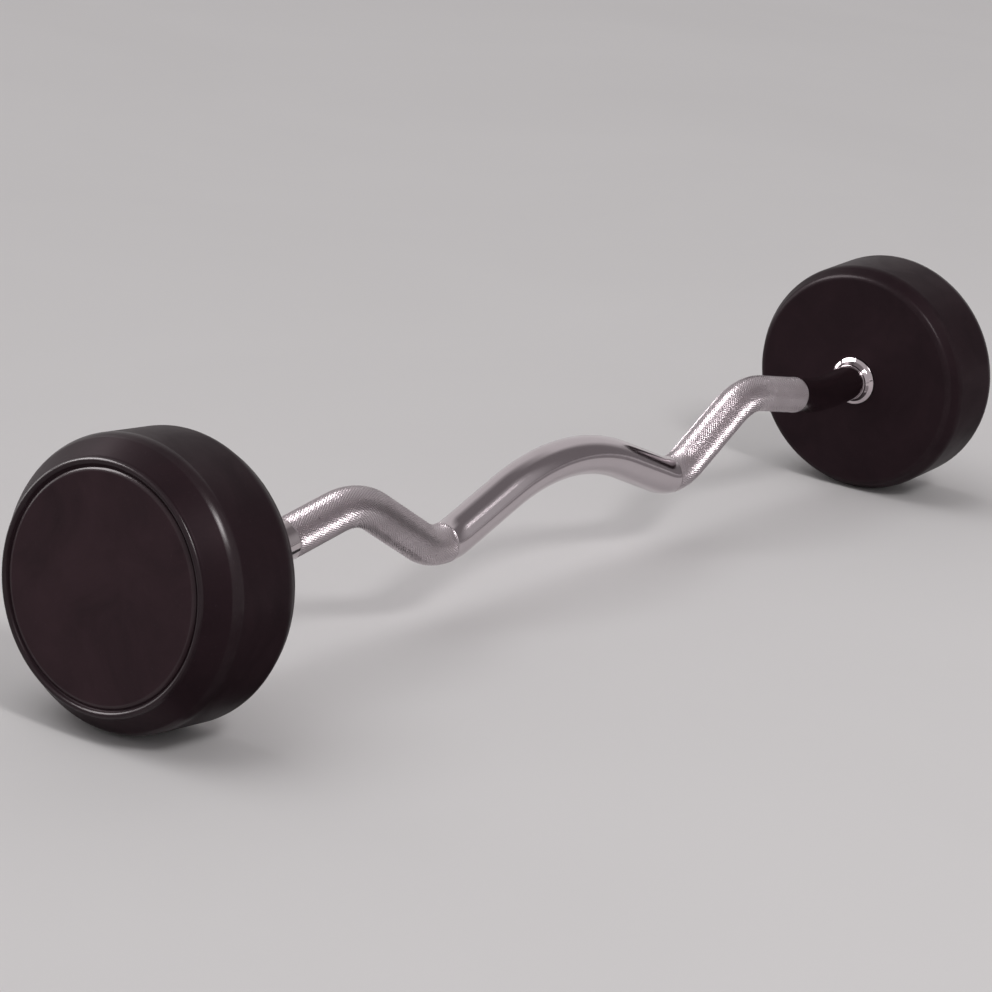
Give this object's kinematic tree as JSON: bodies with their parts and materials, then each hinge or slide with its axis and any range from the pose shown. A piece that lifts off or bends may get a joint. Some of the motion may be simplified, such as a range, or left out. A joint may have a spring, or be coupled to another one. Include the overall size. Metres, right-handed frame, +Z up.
{
  "type": "ez curl bar",
  "caption": "Fixed EZ curl barbell: a zigzag knurled steel bar that carries a round rubber-covered weight head on bushes at each end.",
  "frame": {"origin": "on the floor that the heads stand on, under the middle of the bar", "axes": "+X along the bar towards the right head, +Y across it, +Z up; the bends of the bar lie in the XZ plane"},
  "size_m": [1.003, 0.1836, 0.1862],
  "materials": {
    "bar_chrome": "satin chrome, diamond knurled on the grips",
    "polished_chrome": "polished",
    "washer_steel": "zinc plated",
    "spring_steel": "oiled spring steel",
    "bolt_steel": "black oxide",
    "core_iron": "as cast",
    "moulded_rubber": "satin moulded rubber",
    "cover_rubber": "matt moulded rubber",
    "sleeve_steel": "turned",
    "bush_bronze": "sintered bronze"
  },
  "bodies": {
    "bar": {"ez_bar": "bar_chrome", "left_inner_collar": "polished_chrome", "left_thrust_washer": "washer_steel", "left_retaining_washer": "washer_steel", "left_lock_washer": "spring_steel", "left_end_bolt": "bolt_steel", "right_inner_collar": "polished_chrome", "right_thrust_washer": "washer_steel", "right_retaining_washer": "washer_steel", "right_lock_washer": "spring_steel", "right_end_bolt": "bolt_steel"},
    "left_head": {"left_weight_core": "core_iron", "left_rubber_jacket": "moulded_rubber", "left_hub_sleeve": "sleeve_steel", "left_inner_bush": "bush_bronze", "left_outer_bush": "bush_bronze", "left_end_cover": "cover_rubber"},
    "right_head": {"right_weight_core": "core_iron", "right_rubber_jacket": "moulded_rubber", "right_hub_sleeve": "sleeve_steel", "right_inner_bush": "bush_bronze", "right_outer_bush": "bush_bronze", "right_end_cover": "cover_rubber"}
  },
  "joints": [
    {"name": "left_head_spin", "type": "hinge", "parent": "bar", "child": "left_head", "pos_m": [-0.4166, 0, 0.09071], "axis": [-0.9978, 0, 0.0663], "continuous": true},
    {"name": "right_head_spin", "type": "hinge", "parent": "bar", "child": "right_head", "pos_m": [0.4166, 0, 0.09071], "axis": [0.9978, 0, 0.0663], "continuous": true}
  ]
}
